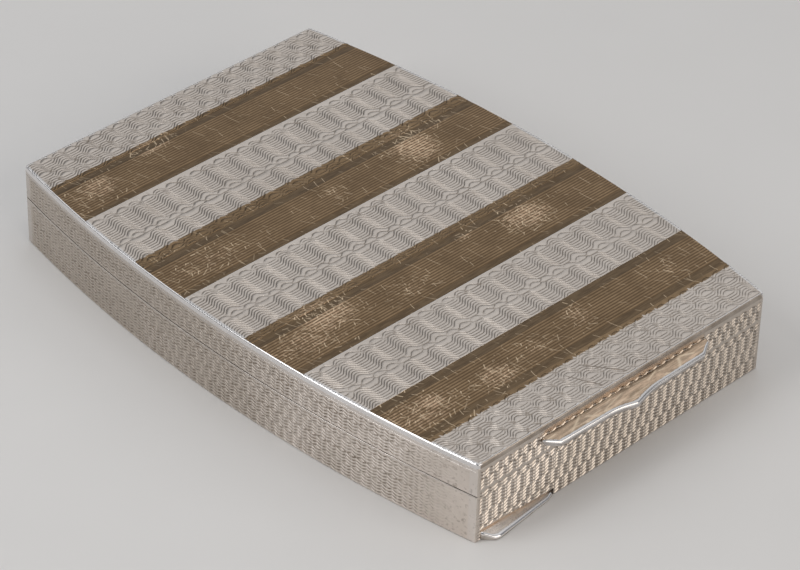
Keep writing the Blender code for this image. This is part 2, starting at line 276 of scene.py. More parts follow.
STROKE_BEND = 0.3
STROKE_SHORTEST = 0.2
STROKE_FAINTEST = 0.4
STROKE_END_STEEPNESS = 8.0
STROKE_ONSET = 6.0


def scratches_group():
    """Single scratches: one straight stroke, softly bent, laid across each cell of a Voronoi pattern.

    Each cell draws its stroke's direction, length and strength from its own colour.  Width and Length
    are shares of a cell, Turn is the usual direction in radians, Spread how far it strays from that,
    and Share is how many of the cells have a stroke.
    """
    group, given, result = new_group("scratches", "Mask", Vector=None, Cells=450.0, Length=0.6,
                                     Width=0.03, Turn=1.9, Spread=1.0, Share=0.4)
    sized = step_vectors(group, "MULTIPLY", given["Vector"], given["Cells"])[0]
    cell = add_node(group, "TexVoronoi", {"Vector": sized, "Scale": 1.0},
                    voronoi_dimensions="2D", feature="F1").outputs
    away = step_vectors(group, "SUBTRACT", sized, cell["Position"])[0]
    drawn = add_node(group, "SeparateColor", {0: cell["Color"]}).outputs
    angle = times(group, work_out(group, "SUBTRACT", drawn[0], 0.5), given["Spread"],
                  plus=times(group, given["Turn"], -1.0))
    turned = add_node(group, "VectorRotate", {"Vector": away, "Angle": angle},
                      rotation_type="Z_AXIS").outputs[0]
    x, y, z = add_node(group, "SeparateXYZ", {0: turned}).outputs
    bend = times(group, times(group, x, x),
                 times(group, drawn[2], STROKE_BEND, plus=-STROKE_BEND / 2))
    across = work_out(group, "ABSOLUTE", work_out(group, "ADD", y, bend))
    thin = work_out(group, "DIVIDE", across, given["Width"])
    thin = work_out(group, "SUBTRACT", 1.0, thin, clamp=True)
    reach = times(group, given["Length"],
                  times(group, drawn[2], 1 - STROKE_SHORTEST, plus=STROKE_SHORTEST))
    inside = work_out(group, "SUBTRACT", reach, work_out(group, "ABSOLUTE", x))
    ends = times(group, inside, STROKE_END_STEEPNESS, clamp=True)
    present = work_out(group, "SUBTRACT", given["Share"], drawn[1])
    present = times(group, present, STROKE_ONSET, clamp=True)
    faint = times(group, present,
                  times(group, drawn[0], 1 - STROKE_FAINTEST, plus=STROKE_FAINTEST))
    group.links.new(times(group, times(group, thin, ends), faint), result)
    return group


def grime_and_shade_group():
    """Soil left in the cuts, and painted shade laid on the same cut mark: it grows from the depth
    Start to the bottom, up to Most, in patches.
    """
    group, given, result = new_group("soiling_and_shade", "Mask", Vector=None, Cut=0.0, Start=0.5, Most=0.5)
    patchy = noise(group, given["Vector"], scale=420.0, detail=3.0)
    patchy = mix_values(group, patchy, 0.55, 1.25, start=0.3, end=0.7)
    deep = add_node(group, "MapRange", {"Value": given["Cut"], "From Min": given["Start"],
                    "From Max": 1.0}, interpolation_type="SMOOTHSTEP").outputs[0]
    much = times(group, given["Most"], patchy)
    group.links.new(times(group, deep, much, clamp=True), result)
    return group


TARNISH = tarnish_group()
SCRATCHES = scratches_group()
SOIL_AND_SHADE = grime_and_shade_group()

GILT = (0.405, 0.277, 0.160)
GILT_DULL = (0.27, 0.182, 0.103)
# Brown of the reed valleys and cuts, also painted shade at the thumb-pieces' roots.
GILT_VALLEY = (0.110, 0.069, 0.038)
GILT_CHANNEL = (0.195, 0.135, 0.080)
GILT_CHANNEL_DULL = (0.135, 0.092, 0.055)
# Paler gold where the gilding is rubbed, also used for painted sheen.
GILT_RUBBED_AND_SHEEN = (0.88, 0.62, 0.41)
GILT_SCRATCH = (1.00, 0.79, 0.55)
STREAK_SCALES = (500.0, 4000.0, 1000.0)
EVERY_WAY = 6.3
SCRATCH_LENGTH = 0.75
# cells, width, spread, share of cells, more of them under the wear-and-sheen mark, strength
GILT_SCRATCHES = (
    (430.0, 0.030, 0.9, 0.34, 0.3, 0.70), (800.0, 0.050, 1.4, 0.36, 0.6, 0.75),
    (640.0, 0.060, EVERY_WAY, 0.0, 1.3, 0.90), (950.0, 0.090, EVERY_WAY, 0.0, 1.3, 1.00),
    (1300.0, 0.130, 2.4, 0.0, 1.3, 1.00),
)


def gilding_group():
    """Old fire gilding: clouded, brown in hollows and under painted shade, rubbed and scratched to a
    paler gold; the same paler gold also serves as painted sheen.
    """
    group, given, result = new_group("gilding", "Color", Vector=None, Turn=1.95, Dirt=0.0,
                                     Channel=0.0, Worn=0.0)
    place, wear_and_sheen = given["Vector"], given["Worn"]
    cloud = use_group(group, TARNISH, Vector=place, Scale=260.0, Low=0.38, High=0.62)
    gold = mix_colours(group, cloud, GILT, GILT_DULL)
    # Paler rubbed gold under the wear-and-sheen mark; on the thumb tops and at the stripes' left ends
    # it is painted sheen.
    rubbed = times(group, noise(group, place, scale=2400.0, detail=3.0, roughness=0.7), 1.6,
                   plus=work_out(group, "SUBTRACT", wear_and_sheen, 0.8))
    drawn_out = add_node(group, "Mapping", {"Vector": place, "Scale": STREAK_SCALES}).outputs[0]
    streaked = noise(group, drawn_out, scale=1.0, detail=3.0)
    streaked = mix_values(group, streaked, 0.0, 1.0, start=0.38, end=0.62)
    rubbed = times(group, mix_values(group, rubbed, 0.0, 0.95, start=0.3, end=0.8),
                   mix_values(group, wear_and_sheen, 0.0, 1.0, start=0.05, end=0.35))
    rubbed = times(group, rubbed, mix_values(group, streaked, 1.2, 0.4), clamp=True)
    gold = mix_colours(group, rubbed, gold, GILT_RUBBED_AND_SHEEN)
    # Hollows go brown, and so does the painted shade at the thumb-pieces' roots.
    gold = mix_colours(group, given["Dirt"], gold, GILT_VALLEY)
    smooth = mix_colours(group, streaked, GILT_CHANNEL, GILT_CHANNEL_DULL)
    gold = mix_colours(group, given["Channel"], gold, smooth)
    scratched = 0.0
    for cells, width, spread, share, where_worn, strength in GILT_SCRATCHES:
        strokes = use_group(group, SCRATCHES, Vector=place, Cells=cells, Length=SCRATCH_LENGTH,
                            Width=width, Turn=given["Turn"], Spread=spread,
                            Share=times(group, wear_and_sheen, where_worn, plus=share))
        scratched = work_out(group, "MAXIMUM", scratched, times(group, strokes, strength))
    scratched = times(group, scratched, mix_values(group, given["Dirt"], 1.0, 0.6))
    group.links.new(mix_colours(group, scratched, gold, GILT_SCRATCH), result)
    return group


GILDING = gilding_group()

WALL_SILVER = (0.84, 0.765, 0.705)
WALL_SILVER_DULL = (0.56, 0.50, 0.44)
# Colour of soil in the cuts, also painted shade at wall feet, under the thumb-pieces and on the lid
# top's end edges.
CUT_SOIL_AND_SHADE_COLOUR = (0.24, 0.19, 0.145)
POLISHED_SILVER = (0.86, 0.845, 0.845)
POLISHED_SILVER_DULL = (0.73, 0.71, 0.70)
# cells, width, share of cells, depth, strength
TURNED_HAIRS = (800.0, 0.04, 0.5, 0.000004, 0.5)


def new_finish(name):
    """A metal whose shader is ready for varying colour, roughness and bump."""
    finish = bpy.data.materials.new(name)
    finish.use_nodes = True
    tree = finish.node_tree
    shader = tree.nodes["Principled BSDF"]
    shader.inputs["Metallic"].default_value = 1.0
    return finish, tree, shader.inputs, add_node(tree, "TexCoord").outputs["Object"]


def attribute(tree, name):
    """A value kept on the piece's points."""
    return add_node(tree, "Attribute", attribute_name=name).outputs["Fac"]


def unrolled(tree, place):
    """Object coordinates laid flat for an upright wall: the run along it, then the height."""
    x, y, z = add_node(tree, "SeparateXYZ", {0: place}).outputs
    return add_node(tree, "CombineXYZ", {0: work_out(tree, "ADD", x, y), 1: z}).outputs[0]


def press_in_hairs(tree, shader, place, cells, width, share, depth, strength):
    """Hair-fine scratches in every direction, pressed into the surface."""
    hair = use_group(tree, SCRATCHES, Vector=place, Cells=cells, Width=width, Spread=EVERY_WAY,
                     Share=share)
    bump = add_node(tree, "Bump", {"Height": hair, "Distance": depth, "Strength": strength})
    tree.links.new(bump.outputs["Normal"], shader["Normal"])


def parcel_gilt_finish(name, silver, silver_dull, grime_and_shade_start, most_grime_and_shade, turn=0.0, upright=False,
                       stretch=1.0, thickness=1.0):
    """Turned silver, clouded, with soil and painted shade in the cuts, gilt where the gilt mark lies.

    The rim mark polishes it to bright white silver and paints a highlight along the lid top's end
    edges; the channel, reed and wear-and-sheen marks vary the gold. The walls carry painted shade.
    """
    finish, tree, shader, place = new_finish(name)
    flat = unrolled(tree, place) if upright else place
    flat = add_node(tree, "Mapping", {"Vector": flat, "Scale": (stretch, 1.0, 1.0)})
    flat = flat.outputs[0]
    cloud = use_group(tree, TARNISH, Vector=place, Scale=90.0)
    # Tarnish cloud, plus the painted shade laid on the walls.
    tarnish_and_shade = times(tree, cloud, 0.5, plus=attribute(tree, "tarnish_and_shade"), clamp=True)
    colour = mix_colours(tree, tarnish_and_shade, silver, silver_dull)
    # Soil in the cuts, and painted shade laid on the same cut mark.
    dirt_and_shade = use_group(tree, SOIL_AND_SHADE, Vector=place, Cut=attribute(tree, "cut"), Start=grime_and_shade_start,
                     Most=most_grime_and_shade)
    colour = mix_colours(tree, dirt_and_shade, colour, CUT_SOIL_AND_SHADE_COLOUR)
    handled = attribute(tree, "handled")
    pits = noise(tree, place, scale=1500.0, detail=3.0, roughness=0.6)
    pits = mix_values(tree, pits, 0.0, 1.0, start=0.56, end=0.68)
    pits = times(tree, pits, times(tree, handled, 0.35, plus=0.25))
    colour = mix_colours(tree, pits, colour, CUT_SOIL_AND_SHADE_COLOUR)
    # Rim mark: polished bright silver, and a painted highlight along the lid top's end edges.
    rim = attribute(tree, "rim")
    bright = mix_colours(tree, cloud, POLISHED_SILVER, POLISHED_SILVER_DULL)
    colour = mix_colours(tree, rim, colour, bright)

    hollow = work_out(tree, "MAXIMUM", dirt_and_shade, attribute(tree, "reed"))
    gold = use_group(tree, GILDING, Vector=flat, Turn=turn, Dirt=hollow,
                     Channel=attribute(tree, "channel"), Worn=attribute(tree, "wear_and_sheen"))
    rough_edge = times(tree, noise(tree, place, scale=3000.0, detail=2.0), 0.5, plus=-0.25)
    ragged = work_out(tree, "ADD", attribute(tree, "gilt"), rough_edge)
    ragged = mix_values(tree, ragged, 0.0, thickness, start=0.4, end=0.6)
    colour = mix_colours(tree, ragged, colour, gold)
    tree.links.new(colour, shader["Base Color"])
    rough = times(tree, handled, 0.14, plus=mix_values(tree, cloud, 0.24, 0.34))
    tree.links.new(times(tree, rim, -0.12, plus=rough), shader["Roughness"])
    press_in_hairs(tree, shader, flat, *TURNED_HAIRS)
    return finish


def plain_finish(name, bright, tarnish_and_shade, cloud_scale, smooth, rough, hairs):
    """Plain metal, clouded between two colours and two roughnesses, with hair-fine scratches."""
    finish, tree, shader, place = new_finish(name)
    cloud = use_group(tree, TARNISH, Vector=place, Scale=cloud_scale)
    tree.links.new(mix_colours(tree, cloud, bright, tarnish_and_shade), shader["Base Color"])
    tree.links.new(mix_values(tree, cloud, smooth, rough), shader["Roughness"])
    press_in_hairs(tree, shader, place, *hairs)
    return finish


GILT_WASH = (0.86, 0.64, 0.33)
GILT_WASH_DULL = (0.66, 0.47, 0.23)
GILT_WASH_HAIRS = (350.0, 0.03, 0.6, 0.000006, 0.6)

turned_silver = parcel_gilt_finish("turned_silver", WALL_SILVER, WALL_SILVER_DULL, grime_and_shade_start=0.45,
                                   most_grime_and_shade=0.75, upright=True, turn=0.5, thickness=0.45)
gilt_wash = plain_finish("gilt_wash", GILT_WASH, GILT_WASH_DULL, cloud_scale=70.0, smooth=0.26,
                         rough=0.42, hairs=GILT_WASH_HAIRS)


def shaded_to_right(across):
    """Painted shade on an end wall: its share of the darker colour grows evenly from the first value
    at the left to the second at the right.
    """
    return np.interp(across, (-HALF_END_WIDTH, HALF_END_WIDTH), END_SHADE)


def shaded_to_rear(across):
    """Painted shade on a side wall, growing from none near the front to its full share towards the
    rear.
    """
    away = (across + SIDE_SHADE_FROM * HALF_LENGTH) / (SIDE_SHADE_OVER * HALF_LENGTH)
    return SIDE_SHADE * np.clip(away, 0, 1)


def rubbed_at_front(across):
    """Share of the turning left on a side wall: fingers have rubbed it smooth at the front corner."""
    away = np.clip((across + HALF_LENGTH - WORN_CORNER) / WORN_CORNER_FADE, 0, 1)
    return WORN_CORNER_LEFT + (1 - WORN_CORNER_LEFT) * away


def wall_sheet(name, low, high, rows, edges, breaks=(), clear=None, band=(), gilded=None):
    """One wall strip as a closed solid, its outer face ploughed by the turned lines.

    A ring of points goes up the outer face, over the top and down the inner face; the rings follow
    one another along the wall.  low and high are functions of the distance along it.  On the outer
    face each turned line has a point at its bottom and at both lips, sorted from foot to top, and
    band lists the points of the plain strip above them.  breaks are the ends of recesses, and clear
    gives half the width and the height of one whose ends are cut square through the sheet.
    """
    body, where = name.split("_")[:2]
    far = -1 if where in ("left", "front") else 1
    bowed = where in ("left", "right")
    if bowed:
        reach, turning, kept, shaded = HALF_LENGTH, SIDE_TURNING, rubbed_at_front, shaded_to_rear
    else:
        reach, turning, kept, shaded = HALF_END_WIDTH, END_TURNING, np.ones_like, shaded_to_right

    def place(share, height, inset):
        """A point of the wall from its share of the half wall, its height and depth in the sheet."""
        width_share, length_share = (far, share) if bowed else (share, far)
        along = length_share * (HALF_LENGTH - inset)
        x = width_share * side_reach(along, inset)
        return np.stack(np.broadcast_arrays(x, along, height), -1)

    across = np.linspace(-reach, reach, int(2 * reach / WALL_COLUMN))
    corner = reach - CORNER_ROUND * np.array(CORNER_STEPS)
    across = np.sort(np.concatenate([across[1:-1], corner, -corner]
                                    + [[edge - STEP_WIDTH, edge + STEP_WIDTH] for edge in breaks]))
    share = across / reach
    to_end = reach - np.abs(across)
    mitred = to_end + MITRE * CORNER_ROUND * np.clip(1 - to_end / CORNER_ROUND, 0, 1)
    tangent = CORNER_ROUND - np.minimum(mitred, CORNER_ROUND)
    rounding = CORNER_ROUND - np.sqrt(CORNER_ROUND ** 2 - tangent ** 2)

    pitch = turning["pitch"]
    lines = turned_lines(across, rows, pitch, turning["wave"], turning["swing"], 0.0, 0.0,
                         TURNED_SOFTNESS)
    climb = np.abs(np.gradient(lines, axis=1))
    fullness = 1 - CUT_TAPER * (1 - climb / climb.max())
    spread = cut_spread(across, lines, turning["half_cut"]) * fullness
    floor, roof = low(across), high(across)
    foot, top = edges["foot"], edges["top"]
    first = np.maximum(floor + foot, edges["turned_from"])
    last = np.minimum(roof - top, edges["turned_to"])
    up = np.sort(np.concatenate([lines - spread, lines, lines + spread]), axis=0)
    up = np.clip(up, first, last)
    cut = cut_share(up, lines, spread, fullness)
    to_edge = np.minimum(up - first, last - up) / (CUT_RUN_OUT * pitch)
    to_strip = to_end - turning["margin"]
    cut *= np.clip(to_edge, 0, 1) * np.clip(to_strip / pitch, 0, 1) * kept(across)

    plain = np.zeros_like(floor)
    strip = [plain + height for height, inset in band]
    inside = place(share, plain, WALL_SHEET)[:, 0]
    heights = np.vstack([floor, floor + FOOT_BREAK * foot, floor + foot, up, *strip, roof - top,
                         roof, high(inside), low(inside)])
    insets = np.vstack([plain + foot, plain + FOOT_BREAK * foot, plain, turning["depth"] * cut,
                        *[plain + inset for height, inset in band], plain, plain + top,
                        plain + WALL_SHEET, plain + WALL_SHEET])
    insets[:-2] = np.maximum(insets[:-2], rounding)
    rings = place(share, heights, insets)
    if clear:
        half, height = clear
        low_corner = (np.abs(across) > half) & (heights < height)
        x = rings[..., 0]
        rings[..., 0] = np.where(low_corner, np.sign(x) * np.maximum(np.abs(x), half), x)
    above = 3 + len(up)
    marks = {label: np.zeros_like(heights) for label in ("cut", "rim", "gilt", "handled", "tarnish_and_shade")}
    # Soil and painted shade at the foot; darker at the seam, less where handled.
    marks["cut"][:2] = edges["foot_soil_and_shade"]
    marks["cut"][-4:-1] = edges["seam_darkening"] * (1 - SEAM_DARKENING_WORN * kept(across))
    marks["cut"][3:above] = turning["dirt_and_shade"] * cut
    marks["rim"][2:above] = np.clip(1 - to_strip / (BARE_FADE * pitch), 0, 1) * turning["strip"]
    marks["rim"][above:-2] = turning["strip"]
    marks["handled"][:] = 1 - kept(across)
    # Painted shade along the wall.
    marks["tarnish_and_shade"][:] = shaded(across)
    if gilded:
        marks["gilt"][3:-3] = gilded(across, heights[3:-3])
        marks["wear_and_sheen"] = marks["gilt"]
    piece = ring_solid(name, rings, marks, turned_silver, WALL_CREASE, gilt_strip=-2)
    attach(piece, body)
    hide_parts(name.replace("_turned", ""))


def constant(value):
    """The same height all along a wall."""
    return lambda across: np.full_like(across, value)


def recessed(half, inside, outside):
    """One height within half of a wall's middle, and another beyond it."""
    return lambda across: np.where((across > -half) & (across < half), inside, outside)


def above_cover_notch(across):
    """Foot of the base's front wall: the notch for the cover's thumb-piece falls to its right."""
    notch = COVER_NOTCH_HEIGHT - COVER_NOTCH_FALL * (across - COVER_NOTCH_START)
    return np.where((across > COVER_NOTCH_START) & (across < COVER_NOTCH_END), notch, 0)


for name in ("base_left_wall_turned", "base_right_wall_turned"):
    wall_sheet(name, constant(0), constant(BASE_SIDE_TOP), SIDE_ROWS, BASE_SIDE_EDGES)

wall_sheet("base_front_wall_turned", above_cover_notch, constant(BASE_END_TOP), FRONT_ROWS,
           BASE_END_EDGES, breaks=(COVER_NOTCH_START, COVER_NOTCH_END))

cover_hinge_half = RECESS_PLAY + float(side_reach(HALF_LENGTH - COVER_HINGE_CLEARANCE,
                                                  WALL_SHEET + COVER_SIDE_GAP))
wall_sheet("base_rear_wall_turned", recessed(cover_hinge_half, COVER_HINGE_CLEARANCE, 0),
           recessed(LID_HINGE_HALF, LID_AXIS_HEIGHT - LID_HINGE_CLEARANCE, BASE_END_TOP),
           FRONT_ROWS, BASE_END_EDGES,
           breaks=(-LID_HINGE_HALF, LID_HINGE_HALF, -cover_hinge_half, cover_hinge_half),
           clear=(cover_hinge_half, COVER_HINGE_CLEARANCE))


# ----
# Middle floor and bezel.  A sheet soldered across the base makes the two compartments, and three thin
# strips stand above the seam for the lid to close over.  All of it is washed with gilt.

def refinish(names, finish):
    """Gives pieces that keep the part's own shape a finish in place of its plain one."""
    for name in names:
        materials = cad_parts[name].data.materials
        materials.clear()
        materials.append(finish)


refinish(("middle_floor", "lid_bezel_left", "lid_bezel_right", "lid_bezel_front"), gilt_wash)


# ----
# Hinges.  Short tubes of drawn silver, soldered in turn to the base and to the lid or cover by a
# leaf, with a wire pin pushed through them.  They are left plain and polished.

HINGE_HAIRS = (600.0, 0.03, 0.7, 0.000004, 0.5)

polished_silver = plain_finish("polished_silver", POLISHED_SILVER, POLISHED_SILVER_DULL,
                               cloud_scale=160.0, smooth=0.16, rough=0.28, hairs=HINGE_HAIRS)
refinish([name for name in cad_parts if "barrel" in name or "pin" in name], polished_silver)


# ----
# Lid walls.  Strips like the base's, turned to match them line for line.  A fine groove and a plain
# polished band finish the long sides at the top, and the front is gilt behind the thumb-piece.

LID_END_FOOT = 0.00671
LID_SIDE_FOOT = 0.00674
LID_WALL_TOP = 0.01070
LID_FRONT_ROWS = ((0.00693, 1, 0.00068), (0.00780, 3, 0.00148), (0.00903, 3, 0.00069))
LID_SIDE_ROWS = ((0.00718, 4, 0.00114), (0.00888, 4, 0.00033))
LID_END_EDGES = dict(foot=0.00001, top=STEP_WIDTH, turned_from=LID_END_FOOT, turned_to=0.01045,
                     foot_soil_and_shade=0.6, seam_darkening=0.0)
LID_SIDE_EDGES = dict(foot=0.00010, top=STEP_WIDTH, turned_from=LID_SIDE_FOOT, turned_to=0.01019,
                      foot_soil_and_shade=1.0, seam_darkening=0.0)
LID_GROOVE = ((0.01022, 0.0), (0.01025, 0.00002), (0.01028, 0.0))
FRONT_GILT_FROM = 0.00955
FRONT_GILT_HALF = 0.0138
FRONT_GILT_SHARE = 0.56
FRONT_GILT_SIDE_FADE = 0.0003
FRONT_GILT_FOOT_FADE = 0.0001


def behind_thumb_piece(across, height):
    """Gilding of the lid's front wall above the thumb-piece, which was gilt together with it."""
    side = np.clip((FRONT_GILT_HALF - np.abs(across)) / FRONT_GILT_SIDE_FADE, 0, 1)
    foot = np.clip((height - FRONT_GILT_FROM) / FRONT_GILT_FOOT_FADE, 0, 1)
    return FRONT_GILT_SHARE * side * foot


for name in ("lid_left_wall_turned", "lid_right_wall_turned"):
    wall_sheet(name, constant(LID_SIDE_FOOT), constant(LID_WALL_TOP), LID_SIDE_ROWS, LID_SIDE_EDGES,
               band=LID_GROOVE)

wall_sheet("lid_front_wall_turned", constant(LID_END_FOOT), constant(LID_WALL_TOP), LID_FRONT_ROWS,
           LID_END_EDGES, gilded=behind_thumb_piece)

wall_sheet("lid_rear_wall_turned",
           recessed(LID_HINGE_HALF, LID_AXIS_HEIGHT + LID_HINGE_CLEARANCE, LID_END_FOOT),
           constant(LID_WALL_TOP), LID_FRONT_ROWS, LID_END_EDGES,
           breaks=(-LID_HINGE_HALF, LID_HINGE_HALF))


# ----
# Lid top.  One sheet, turned in five bands of broad waves.  Between the bands four stripes were cut
# plain: a channel, fourteen fine straight reeds and another channel, and then gilt.  The gilding
# strays over the waves on one side of each stripe and is rubbed through in places.  Towards the
# left edge the stripes are lightened with painted sheen.

TOP_UNDER = 0.0107
TOP_FACE = 0.0114
TOP_BEVEL = 0.00025
BEVEL_ANGLES = (30.0, 60.0, 90.0)
TOP_CORNER_ROUND = 0.0004
TOP_COLUMNS = 198
TOP_CREASE = 32
TOP_PITCH = 0.000435
TOP_WAVE = 0.00396
TOP_SWING = 0.00087
TOP_HALF_CUT = 0.00015
TOP_CUT_DEPTH = 0.000060
TOP_CREST_SHARE = 0.14
TOP_TROUGH_SHARE = 0.33
TOP_SOFTNESS = 0.5

TOP_BANDS = (
    (-0.0400, -0.0328, ((-0.03920, 1, 0.00115), (-0.03920, 6, -0.00082), (-0.03702, 5, 0.00115),
                        (-0.03531, 5, -0.00082), (-0.03365, 1, 0.00115))),
    (-0.0246, -0.01465, ((-0.02468, 9, -0.00103), (-0.02030, 1, -0.00103), (-0.02030, 1, 0.00108),
                         (-0.01940, 10, 0.00108), (-0.01551, 1, -0.00103))),
    (-0.0062, 0.00565, ((-0.00573, 2, 0.00068), (-0.00530, 1, -0.00130), (-0.00485, 9, 0.00068),
                        (-0.00047, 1, 0.00068), (-0.00047, 1, -0.00130), (0.00040, 11, -0.00130),
                        (0.00475, 1, 0.00068))),
    (0.0135, 0.02565, ((0.01350, 2, 0.00028), (0.01440, 1, 0.00028), (0.01440, 1, -0.00162),
                       (0.01527, 8, -0.00162), (0.01940, 1, -0.00162), (0.01940, 1, 0.00028),
                       (0.02027, 11, 0.00028), (0.02462, 1, -0.00162))),
    (0.03335, 0.0400, ((0.03355, 5, 0.00036), (0.03529, 5, -0.00178), (0.03700, 5, 0.00012),
                       (0.03920, 1, 0.00012), (0.03920, 1, -0.00178))),
)
TOP_STRIPES = (
    (-0.0328, -0.0246, 0.0012, 0.0013),
    (-0.01465, -0.0062, 0.00095, 0.0010),
    (0.00565, 0.0135, 0.00095, 0.0011),
    (0.02565, 0.03335, 0.00095, 0.00095),
)
CHANNEL_DEPTH = 0.000060
SHOULDER = 0.00003
BURNISHED_EDGE = 0.00008
REED_PITCH = 0.000435
REED_CREST_DEPTH = 0.000015
REED_VALLEY_DEPTH = 0.000055
# Painted highlight: a bright line where the face meets the front and rear bevels. Painted shade: those
# bevels darken below it, and the end faces are darkened too.
BEVEL_HIGHLIGHT_WIDTH = 0.1
BEVEL_HIGHLIGHT_BRIGHTNESS = 0.9
BEVEL_SHADE = 1.2
BEVEL_SHADE_FALL = 1.33
FACE_FADE = 0.0001
END_FACE_SHADE_MARKS = {"cut": 1.0, "rim": 0.0}
GILT_STRAY = ((-0.0328, -0.00070), (-0.0062, 0.00130), (0.0135, 0.00175), (0.03335, 0.00065))
STRAY_RIPPLE = 0.00003
STRAY_WAVES = (1587.0, 4100.0)
STRAY_SOFTNESS = 0.00020
STRAY_LIMIT = 0.004
STRAY_SMOOTHNESS = 0.45
# Soft spots of paler gold: most are gilding rubbed through; the last four, at the left ends of the
# stripes, are painted sheen that fades towards the rear.
RUBBED_AND_SHEEN_SPOTS = (
    (-0.0180, -0.0079, 0.0042, 0.0029, 1.0), (0.0145, -0.0097, 0.0034, 0.0024, 1.0),
    (0.0058, -0.0075, 0.0016, 0.0014, 0.5), (-0.0201, -0.0281, 0.0018, 0.0016, 1.0),
    (-0.0108, -0.0297, 0.0032, 0.0024, 0.7), (-0.0040, -0.0290, 0.0040, 0.0028, 0.35),
    (0.0045, -0.0280, 0.0018, 0.0030, 0.5), (0.0195, -0.0290, 0.0030, 0.0025, 0.3),
    (0.0148, 0.0106, 0.0032, 0.0034, 1.0), (0.0205, 0.0125, 0.0022, 0.0012, 0.5),
    (-0.0200, 0.0095, 0.0060, 0.0030, 0.40), (-0.0101, 0.0328, 0.0035, 0.0014, 0.9),
    (-0.0205, 0.0302, 0.0034, 0.0026, 0.65), (0.0005, 0.0095, 0.0020, 0.0020, 0.3),
    (-0.0060, -0.0110, 0.0040, 0.0020, 0.35), (-0.0230, -0.0110, 0.0030, 0.0030, 0.35),
    (-0.0225, -0.0290, 0.0070, 0.0040, 0.52), (-0.0225, -0.0100, 0.0070, 0.0040, 0.50),
    (-0.0225, 0.0095, 0.0070, 0.0040, 0.34), (-0.0225, 0.0295, 0.0070, 0.0040, 0.30),
)


def top_edge(share, along):
    """Half width of the lid's plan at a place along it, and how far that place lies from its end.

    The bowed sides and straight ends meet in a small round of TOP_CORNER_ROUND.
    """
    to_end = HALF_LENGTH - np.abs(along)
    short = np.clip(TOP_CORNER_ROUND - to_end, 0, TOP_CORNER_ROUND)
    reach = side_reach(along) - (TOP_CORNER_ROUND - np.sqrt(TOP_CORNER_ROUND ** 2 - short ** 2))
    return reach, to_end


def bevel_drop(inset):
    """How far the rounded edge has fallen at a distance inside the outline: a quarter round."""
    near = np.clip(TOP_BEVEL - inset, 0, TOP_BEVEL)
    return TOP_BEVEL - np.sqrt(TOP_BEVEL ** 2 - near ** 2)


def stripe_profile():
    """Places and depths of the points across every gilt stripe, its valleys and its channels."""
    places, depths, valleys, channels = [], [], [], []
    for start, end, near_channel, far_channel in TOP_STRIPES:
        reeds = int((end - start - near_channel - far_channel) / REED_PITCH)
        reed_start = (start + near_channel + end - far_channel - reeds * REED_PITCH) / 2
        reed_places = reed_start + REED_PITCH / 2 * np.arange(2 * reeds + 1)
        valley = np.where(np.arange(2 * reeds + 1) % 2 == 0, 1.0, 0.0)
        reed_depths = REED_CREST_DEPTH + (REED_VALLEY_DEPTH - REED_CREST_DEPTH) * valley
        places += [start, start + SHOULDER, reed_start - SHOULDER, *reed_places,
                   reed_places[-1] + SHOULDER, end - SHOULDER, end]
        depths += [0, CHANNEL_DEPTH, CHANNEL_DEPTH, *reed_depths, CHANNEL_DEPTH, CHANNEL_DEPTH, 0]
        valleys += [0, 0, 0, *valley, 0, 0, 0]
        channels += [1, 1, 1, *(0 * valley), 1, 1, 1]
    return [np.array(values) for values in (places, depths, valleys, channels)]


def rubbed_and_sheen_share(across, along):
    """Wear of the gilding, and painted sheen: the most of several soft round spots, each falling off
    as a bell curve.
    """
    wear_and_sheen = np.zeros_like(across)
    for x, y, wide, tall, amount in RUBBED_AND_SHEEN_SPOTS:
        spot = np.exp(-((across - x) / wide) ** 2 - ((along - y) / tall) ** 2)
        wear_and_sheen = np.maximum(wear_and_sheen, amount * spot)
    return wear_and_sheen


def broad_waves(across, rows):
    """The turned lines of the lid's top and the cover, cut with one cutter, and their spreads."""
    lines = turned_lines(across, rows, TOP_PITCH, TOP_WAVE, TOP_SWING, TOP_CREST_SHARE,
                         TOP_TROUGH_SHARE, TOP_SOFTNESS)
    return lines, cut_spread(across, lines, TOP_HALF_CUT)


